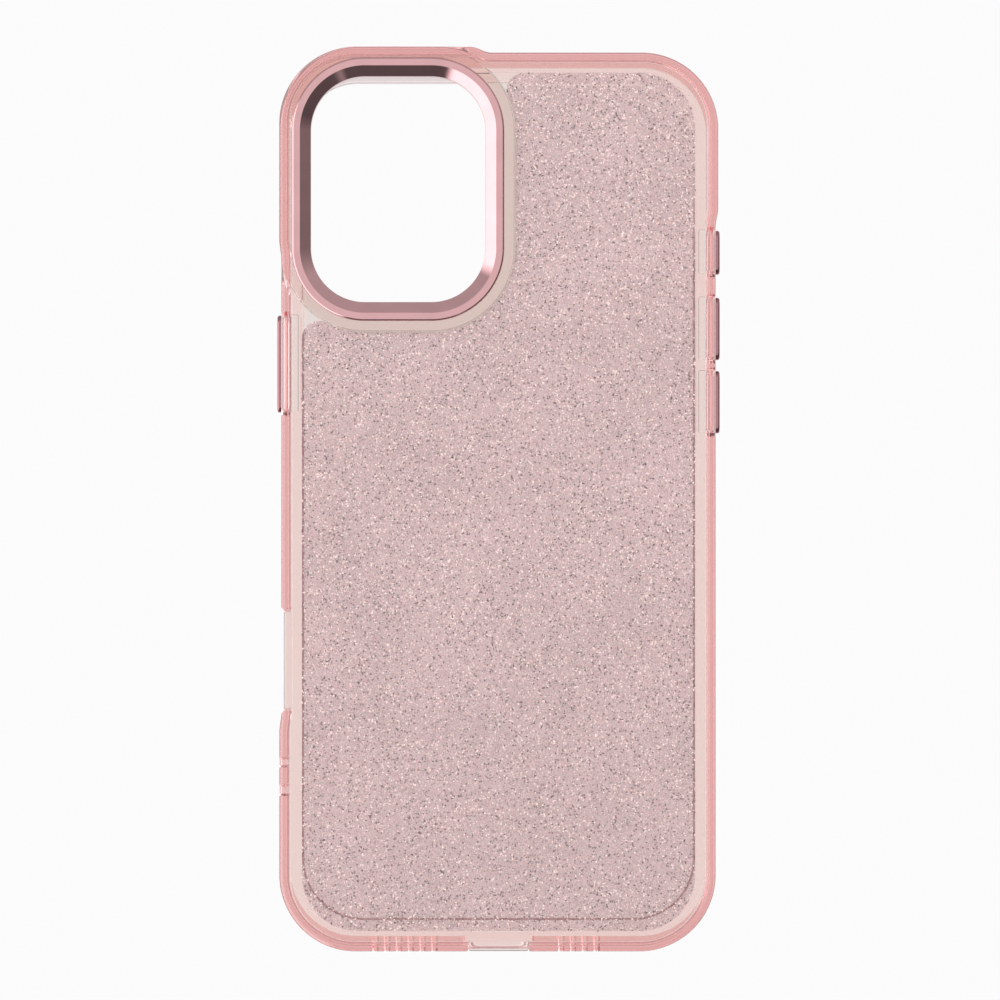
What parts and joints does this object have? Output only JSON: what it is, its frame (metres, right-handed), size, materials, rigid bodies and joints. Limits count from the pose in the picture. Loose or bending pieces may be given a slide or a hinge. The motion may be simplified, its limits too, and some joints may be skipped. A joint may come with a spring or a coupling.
{
  "type": "phone case",
  "caption": "Clear-backed phone case with a tinted soft bumper, glitter film, plated camera ring and plated push buttons; holds a phone by its edges.",
  "frame": {"origin": "centre of the floor that the phone's back lies on, which is the phone_seat mount", "axes": "the case stands upright in portrait, as it is pictured: +Z towards the camera end, +Y out of the open screen side, +X to the right as seen from the back"},
  "size_m": [0.0766, 0.0137, 0.1562],
  "materials": {
    "tinted_tpu": "translucent salmon pink soft plastic, gloss",
    "clear_polycarbonate": "clear hard plastic, polished",
    "glitter_film": "pink mauve film with fine light and dark flakes",
    "clear_liner": "clear soft film, gloss",
    "rose_plating": "polished rose plating",
    "dark_adhesive": "matt dark adhesive tape",
    "button_plating": "polished dark rose plating",
    "button_pad": "soft tinted plastic"
  },
  "bodies": {
    "case": {"bumper_frame": "tinted_tpu", "back_plate": "clear_polycarbonate", "glitter_film": "glitter_film", "inner_liner": "clear_liner", "camera_ring": "rose_plating", "ring_adhesive": "dark_adhesive"},
    "action_button": {"action_button_cap": "button_plating", "action_button_pad": "button_pad"},
    "volume_up_button": {"volume_up_button_cap": "button_plating", "volume_up_button_pad": "button_pad"},
    "volume_down_button": {"volume_down_button_cap": "button_plating", "volume_down_button_pad": "button_pad"},
    "power_button": {"power_button_cap": "button_plating", "power_button_pad": "button_pad"}
  },
  "joints": [
    {"name": "action_button_press", "type": "slide", "parent": "case", "child": "action_button", "axis": [-1, 0, 0], "range_m": [0, 0.0004], "stiffness_N_per_m": 600, "springref_m": -0.0005},
    {"name": "volume_up_button_press", "type": "slide", "parent": "case", "child": "volume_up_button", "axis": [-1, 0, 0], "range_m": [0, 0.0004], "stiffness_N_per_m": 600, "springref_m": -0.0005},
    {"name": "volume_down_button_press", "type": "slide", "parent": "case", "child": "volume_down_button", "axis": [-1, 0, 0], "range_m": [0, 0.0004], "stiffness_N_per_m": 600, "springref_m": -0.0005},
    {"name": "power_button_press", "type": "slide", "parent": "case", "child": "power_button", "axis": [1, 0, 0], "range_m": [0, 0.0004], "stiffness_N_per_m": 600, "springref_m": -0.0005}
  ]
}
